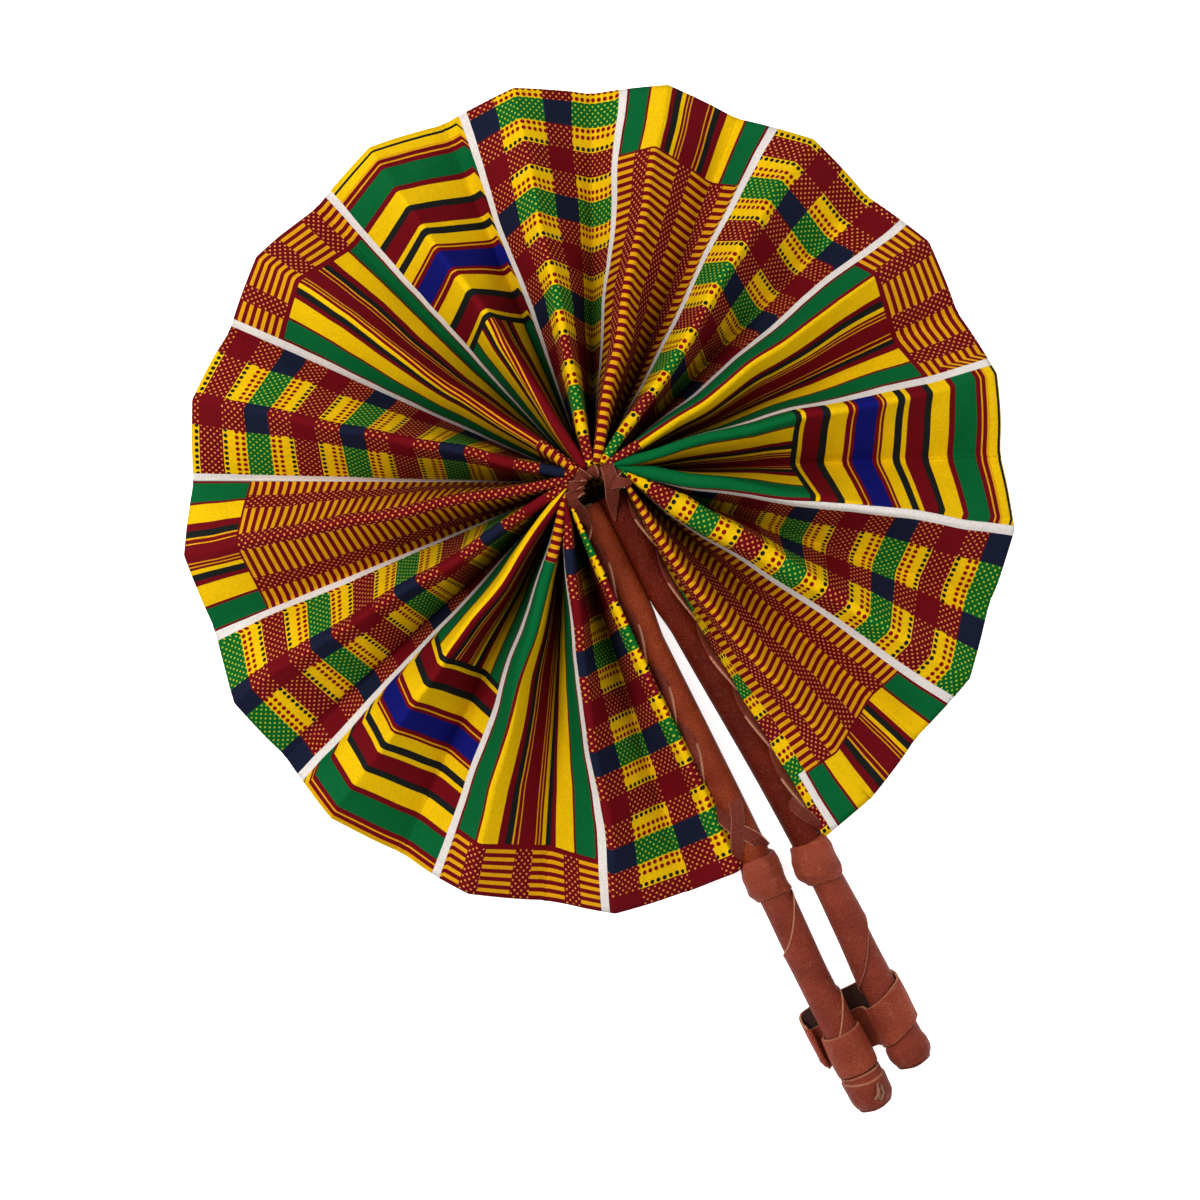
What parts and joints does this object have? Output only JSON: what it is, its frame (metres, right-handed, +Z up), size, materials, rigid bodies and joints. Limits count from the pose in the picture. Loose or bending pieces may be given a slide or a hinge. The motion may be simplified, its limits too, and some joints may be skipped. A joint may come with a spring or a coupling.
{
  "type": "cloth folding fan",
  "caption": "Round pleated cloth folding fan, shown open, with leather laced hub, two leather covered stick handles and a leather closing strap.",
  "frame": {"origin": "on the table under the middle of the open fan's own box", "axes": "+Z up from the table the open fan lies on, -Y along the two sticks from the hub to their tips, +X towards stick B"},
  "size_m": [0.294, 0.3902, 0.0326],
  "materials": {
    "leather": "satin",
    "sleeve_leather": "satin",
    "pale_leather": "matte",
    "cloth": "matte",
    "wood": "matte"
  },
  "bodies": {
    "stick_a": {"stick_a_core": "wood", "stick_a_sleeve": "sleeve_leather", "stick_a_grip": "leather", "stick_a_collar": "leather", "stick_a_cap": "leather", "stick_a_lacing": "leather", "stick_a_cap_tab": "pale_leather"},
    "strap": {"closing_strap": "leather", "strap_keeper": "leather"},
    "fold_01": {"pleat_01": "cloth", "hub_lace_01": "leather"},
    "fold_02": {"pleat_02": "cloth", "hub_lace_02": "leather"},
    "fold_03": {"pleat_03": "cloth", "hub_lace_03": "leather"},
    "fold_04": {"pleat_04": "cloth", "hub_lace_04": "leather"},
    "fold_05": {"pleat_05": "cloth", "hub_lace_05": "leather"},
    "fold_06": {"pleat_06": "cloth", "hub_lace_06": "leather"},
    "fold_07": {"pleat_07": "cloth", "hub_lace_07": "leather"},
    "fold_08": {"pleat_08": "cloth", "hub_lace_08": "leather"},
    "fold_09": {"pleat_09": "cloth", "hub_lace_09": "leather"},
    "fold_10": {"pleat_10": "cloth", "hub_lace_10": "leather"},
    "fold_11": {"pleat_11": "cloth", "hub_lace_11": "leather"},
    "fold_12": {"pleat_12": "cloth", "hub_lace_12": "leather"},
    "fold_13": {"pleat_13": "cloth", "hub_lace_13": "leather"},
    "fold_14": {"pleat_14": "cloth", "hub_lace_14": "leather"},
    "fold_15": {"pleat_15": "cloth", "hub_lace_15": "leather"},
    "fold_16": {"pleat_16": "cloth", "hub_lace_16": "leather"},
    "fold_17": {"pleat_17": "cloth", "hub_lace_17": "leather"},
    "stick_b": {"stick_b_core": "wood", "stick_b_sleeve": "sleeve_leather", "stick_b_grip": "leather", "stick_b_collar": "leather", "stick_b_cap": "leather", "stick_b_lacing": "leather", "hub_lace_tail": "leather"}
  },
  "joints": [
    {"name": "strap_slide", "type": "slide", "parent": "stick_a", "child": "strap", "axis": [0, -1, 0], "range_m": [0, 0.05], "deforming": ["closing_strap", "strap_keeper"]},
    {"name": "fold_hinge_01", "type": "hinge", "parent": "stick_a", "child": "fold_01", "pos_m": [-0.01203, 0.03587, 0.015], "axis": [0, 0, 1], "range_deg": [0, 4.09], "deforming": ["pleat_01", "pleat_02", "pleat_03", "pleat_04", "pleat_05", "pleat_06", "pleat_07", "pleat_08", "pleat_09", "pleat_10", "pleat_11", "pleat_12", "pleat_13", "pleat_14", "pleat_15", "pleat_16", "pleat_17", "hub_lace_01", "hub_lace_02", "hub_lace_03", "hub_lace_04", "hub_lace_05", "hub_lace_06", "hub_lace_07", "hub_lace_08", "hub_lace_09", "hub_lace_10", "hub_lace_11", "hub_lace_12", "hub_lace_13", "hub_lace_14", "hub_lace_15", "hub_lace_16", "hub_lace_17", "hub_lace_tail", "closing_strap", "strap_keeper"]},
    {"name": "fold_hinge_02", "type": "hinge", "parent": "fold_01", "child": "fold_02", "pos_m": [-0.01295, 0.04312, 0.015], "axis": [0, 0, 1], "range_deg": [0, 14.34], "deforming": ["pleat_02", "pleat_03", "pleat_04", "pleat_05", "pleat_06", "pleat_07", "pleat_08", "pleat_09", "pleat_10", "pleat_11", "pleat_12", "pleat_13", "pleat_14", "pleat_15", "pleat_16", "pleat_17", "hub_lace_02", "hub_lace_03", "hub_lace_04", "hub_lace_05", "hub_lace_06", "hub_lace_07", "hub_lace_08", "hub_lace_09", "hub_lace_10", "hub_lace_11", "hub_lace_12", "hub_lace_13", "hub_lace_14", "hub_lace_15", "hub_lace_16", "hub_lace_17", "hub_lace_tail"]},
    {"name": "fold_hinge_03", "type": "hinge", "parent": "fold_02", "child": "fold_03", "pos_m": [-0.01337, 0.04878, 0.015], "axis": [0, 0, 1], "range_deg": [0, 21.14], "deforming": ["pleat_03", "pleat_04", "pleat_05", "pleat_06", "pleat_07", "pleat_08", "pleat_09", "pleat_10", "pleat_11", "pleat_12", "pleat_13", "pleat_14", "pleat_15", "pleat_16", "pleat_17", "hub_lace_03", "hub_lace_04", "hub_lace_05", "hub_lace_06", "hub_lace_07", "hub_lace_08", "hub_lace_09", "hub_lace_10", "hub_lace_11", "hub_lace_12", "hub_lace_13", "hub_lace_14", "hub_lace_15", "hub_lace_16", "hub_lace_17", "hub_lace_tail"]},
    {"name": "fold_hinge_04", "type": "hinge", "parent": "fold_03", "child": "fold_04", "pos_m": [-0.01307, 0.05193, 0.015], "axis": [0, 0, 1], "range_deg": [0, 21.9], "deforming": ["pleat_04", "pleat_05", "pleat_06", "pleat_07", "pleat_08", "pleat_09", "pleat_10", "pleat_11", "pleat_12", "pleat_13", "pleat_14", "pleat_15", "pleat_16", "pleat_17", "hub_lace_04", "hub_lace_05", "hub_lace_06", "hub_lace_07", "hub_lace_08", "hub_lace_09", "hub_lace_10", "hub_lace_11", "hub_lace_12", "hub_lace_13", "hub_lace_14", "hub_lace_15", "hub_lace_16", "hub_lace_17", "hub_lace_tail"]},
    {"name": "fold_hinge_05", "type": "hinge", "parent": "fold_04", "child": "fold_05", "pos_m": [-0.01161, 0.05473, 0.015], "axis": [0, 0, 1], "range_deg": [0, 21.83], "deforming": ["pleat_05", "pleat_06", "pleat_07", "pleat_08", "pleat_09", "pleat_10", "pleat_11", "pleat_12", "pleat_13", "pleat_14", "pleat_15", "pleat_16", "pleat_17", "hub_lace_05", "hub_lace_06", "hub_lace_07", "hub_lace_08", "hub_lace_09", "hub_lace_10", "hub_lace_11", "hub_lace_12", "hub_lace_13", "hub_lace_14", "hub_lace_15", "hub_lace_16", "hub_lace_17", "hub_lace_tail"]},
    {"name": "fold_hinge_06", "type": "hinge", "parent": "fold_05", "child": "fold_06", "pos_m": [-0.0092, 0.05679, 0.015], "axis": [0, 0, 1], "range_deg": [0, 21.68], "deforming": ["pleat_06", "pleat_07", "pleat_08", "pleat_09", "pleat_10", "pleat_11", "pleat_12", "pleat_13", "pleat_14", "pleat_15", "pleat_16", "pleat_17", "hub_lace_06", "hub_lace_07", "hub_lace_08", "hub_lace_09", "hub_lace_10", "hub_lace_11", "hub_lace_12", "hub_lace_13", "hub_lace_14", "hub_lace_15", "hub_lace_16", "hub_lace_17", "hub_lace_tail"]},
    {"name": "fold_hinge_07", "type": "hinge", "parent": "fold_06", "child": "fold_07", "pos_m": [-0.00632, 0.05785, 0.015], "axis": [0, 0, 1], "range_deg": [0, 22.24], "deforming": ["pleat_07", "pleat_08", "pleat_09", "pleat_10", "pleat_11", "pleat_12", "pleat_13", "pleat_14", "pleat_15", "pleat_16", "pleat_17", "hub_lace_07", "hub_lace_08", "hub_lace_09", "hub_lace_10", "hub_lace_11", "hub_lace_12", "hub_lace_13", "hub_lace_14", "hub_lace_15", "hub_lace_16", "hub_lace_17", "hub_lace_tail"]},
    {"name": "fold_hinge_08", "type": "hinge", "parent": "fold_07", "child": "fold_08", "pos_m": [-0.00369, 0.05816, 0.015], "axis": [0, 0, 1], "range_deg": [0, 22.5], "deforming": ["pleat_08", "pleat_09", "pleat_10", "pleat_11", "pleat_12", "pleat_13", "pleat_14", "pleat_15", "pleat_16", "pleat_17", "hub_lace_08", "hub_lace_09", "hub_lace_10", "hub_lace_11", "hub_lace_12", "hub_lace_13", "hub_lace_14", "hub_lace_15", "hub_lace_16", "hub_lace_17", "hub_lace_tail"]},
    {"name": "fold_hinge_09", "type": "hinge", "parent": "fold_08", "child": "fold_09", "pos_m": [-0.0015, 0.05828, 0.015], "axis": [0, 0, 1], "range_deg": [0, 22.22], "deforming": ["pleat_09", "pleat_10", "pleat_11", "pleat_12", "pleat_13", "pleat_14", "pleat_15", "pleat_16", "pleat_17", "hub_lace_09", "hub_lace_10", "hub_lace_11", "hub_lace_12", "hub_lace_13", "hub_lace_14", "hub_lace_15", "hub_lace_16", "hub_lace_17", "hub_lace_tail"]},
    {"name": "fold_hinge_10", "type": "hinge", "parent": "fold_09", "child": "fold_10", "pos_m": [0.00059, 0.05828, 0.015], "axis": [0, 0, 1], "range_deg": [0, 22.23], "deforming": ["pleat_10", "pleat_11", "pleat_12", "pleat_13", "pleat_14", "pleat_15", "pleat_16", "pleat_17", "hub_lace_10", "hub_lace_11", "hub_lace_12", "hub_lace_13", "hub_lace_14", "hub_lace_15", "hub_lace_16", "hub_lace_17", "hub_lace_tail"]},
    {"name": "fold_hinge_11", "type": "hinge", "parent": "fold_10", "child": "fold_11", "pos_m": [0.00264, 0.05799, 0.015], "axis": [0, 0, 1], "range_deg": [0, 22], "deforming": ["pleat_11", "pleat_12", "pleat_13", "pleat_14", "pleat_15", "pleat_16", "pleat_17", "hub_lace_11", "hub_lace_12", "hub_lace_13", "hub_lace_14", "hub_lace_15", "hub_lace_16", "hub_lace_17", "hub_lace_tail"]},
    {"name": "fold_hinge_12", "type": "hinge", "parent": "fold_11", "child": "fold_12", "pos_m": [0.00479, 0.05761, 0.015], "axis": [0, 0, 1], "range_deg": [0, 22.05], "deforming": ["pleat_12", "pleat_13", "pleat_14", "pleat_15", "pleat_16", "pleat_17", "hub_lace_12", "hub_lace_13", "hub_lace_14", "hub_lace_15", "hub_lace_16", "hub_lace_17", "hub_lace_tail"]},
    {"name": "fold_hinge_13", "type": "hinge", "parent": "fold_12", "child": "fold_13", "pos_m": [0.00732, 0.05694, 0.015], "axis": [0, 0, 1], "range_deg": [0, 22.06], "deforming": ["pleat_13", "pleat_14", "pleat_15", "pleat_16", "pleat_17", "hub_lace_13", "hub_lace_14", "hub_lace_15", "hub_lace_16", "hub_lace_17", "hub_lace_tail"]},
    {"name": "fold_hinge_14", "type": "hinge", "parent": "fold_13", "child": "fold_14", "pos_m": [0.00982, 0.05546, 0.015], "axis": [0, 0, 1], "range_deg": [0, 22], "deforming": ["pleat_14", "pleat_15", "pleat_16", "pleat_17", "hub_lace_14", "hub_lace_15", "hub_lace_16", "hub_lace_17", "hub_lace_tail"]},
    {"name": "fold_hinge_15", "type": "hinge", "parent": "fold_14", "child": "fold_15", "pos_m": [0.01172, 0.05311, 0.015], "axis": [0, 0, 1], "range_deg": [0, 21.86], "deforming": ["pleat_15", "pleat_16", "pleat_17", "hub_lace_15", "hub_lace_16", "hub_lace_17", "hub_lace_tail"]},
    {"name": "fold_hinge_16", "type": "hinge", "parent": "fold_15", "child": "fold_16", "pos_m": [0.01256, 0.0503, 0.015], "axis": [0, 0, 1], "range_deg": [0, 21.87], "deforming": ["pleat_16", "pleat_17", "hub_lace_16", "hub_lace_17", "hub_lace_tail"]},
    {"name": "fold_hinge_17", "type": "hinge", "parent": "fold_16", "child": "fold_17", "pos_m": [0.01202, 0.04791, 0.015], "axis": [0, 0, 1], "range_deg": [0, 20.69], "deforming": ["pleat_17", "hub_lace_17", "hub_lace_tail"]},
    {"name": "fold_hinge_18", "type": "hinge", "parent": "fold_17", "child": "stick_b", "pos_m": [0.01099, 0.0438, 0.015], "axis": [0, 0, 1], "range_deg": [0, 9.56], "deforming": ["hub_lace_tail"]}
  ],
  "couplings": [
    {"joint": "fold_hinge_02", "follows": "fold_hinge_01", "ratio": 3.5061},
    {"joint": "fold_hinge_03", "follows": "fold_hinge_01", "ratio": 5.1694},
    {"joint": "fold_hinge_04", "follows": "fold_hinge_01", "ratio": 5.3559},
    {"joint": "fold_hinge_05", "follows": "fold_hinge_01", "ratio": 5.3398},
    {"joint": "fold_hinge_06", "follows": "fold_hinge_01", "ratio": 5.3014},
    {"joint": "fold_hinge_07", "follows": "fold_hinge_01", "ratio": 5.4393},
    {"joint": "fold_hinge_08", "follows": "fold_hinge_01", "ratio": 5.503},
    {"joint": "fold_hinge_09", "follows": "fold_hinge_01", "ratio": 5.4353},
    {"joint": "fold_hinge_10", "follows": "fold_hinge_01", "ratio": 5.438},
    {"joint": "fold_hinge_11", "follows": "fold_hinge_01", "ratio": 5.3814},
    {"joint": "fold_hinge_12", "follows": "fold_hinge_01", "ratio": 5.3918},
    {"joint": "fold_hinge_13", "follows": "fold_hinge_01", "ratio": 5.3953},
    {"joint": "fold_hinge_14", "follows": "fold_hinge_01", "ratio": 5.3811},
    {"joint": "fold_hinge_15", "follows": "fold_hinge_01", "ratio": 5.3457},
    {"joint": "fold_hinge_16", "follows": "fold_hinge_01", "ratio": 5.3488},
    {"joint": "fold_hinge_17", "follows": "fold_hinge_01", "ratio": 5.059},
    {"joint": "fold_hinge_18", "follows": "fold_hinge_01", "ratio": 2.3392}
  ]
}
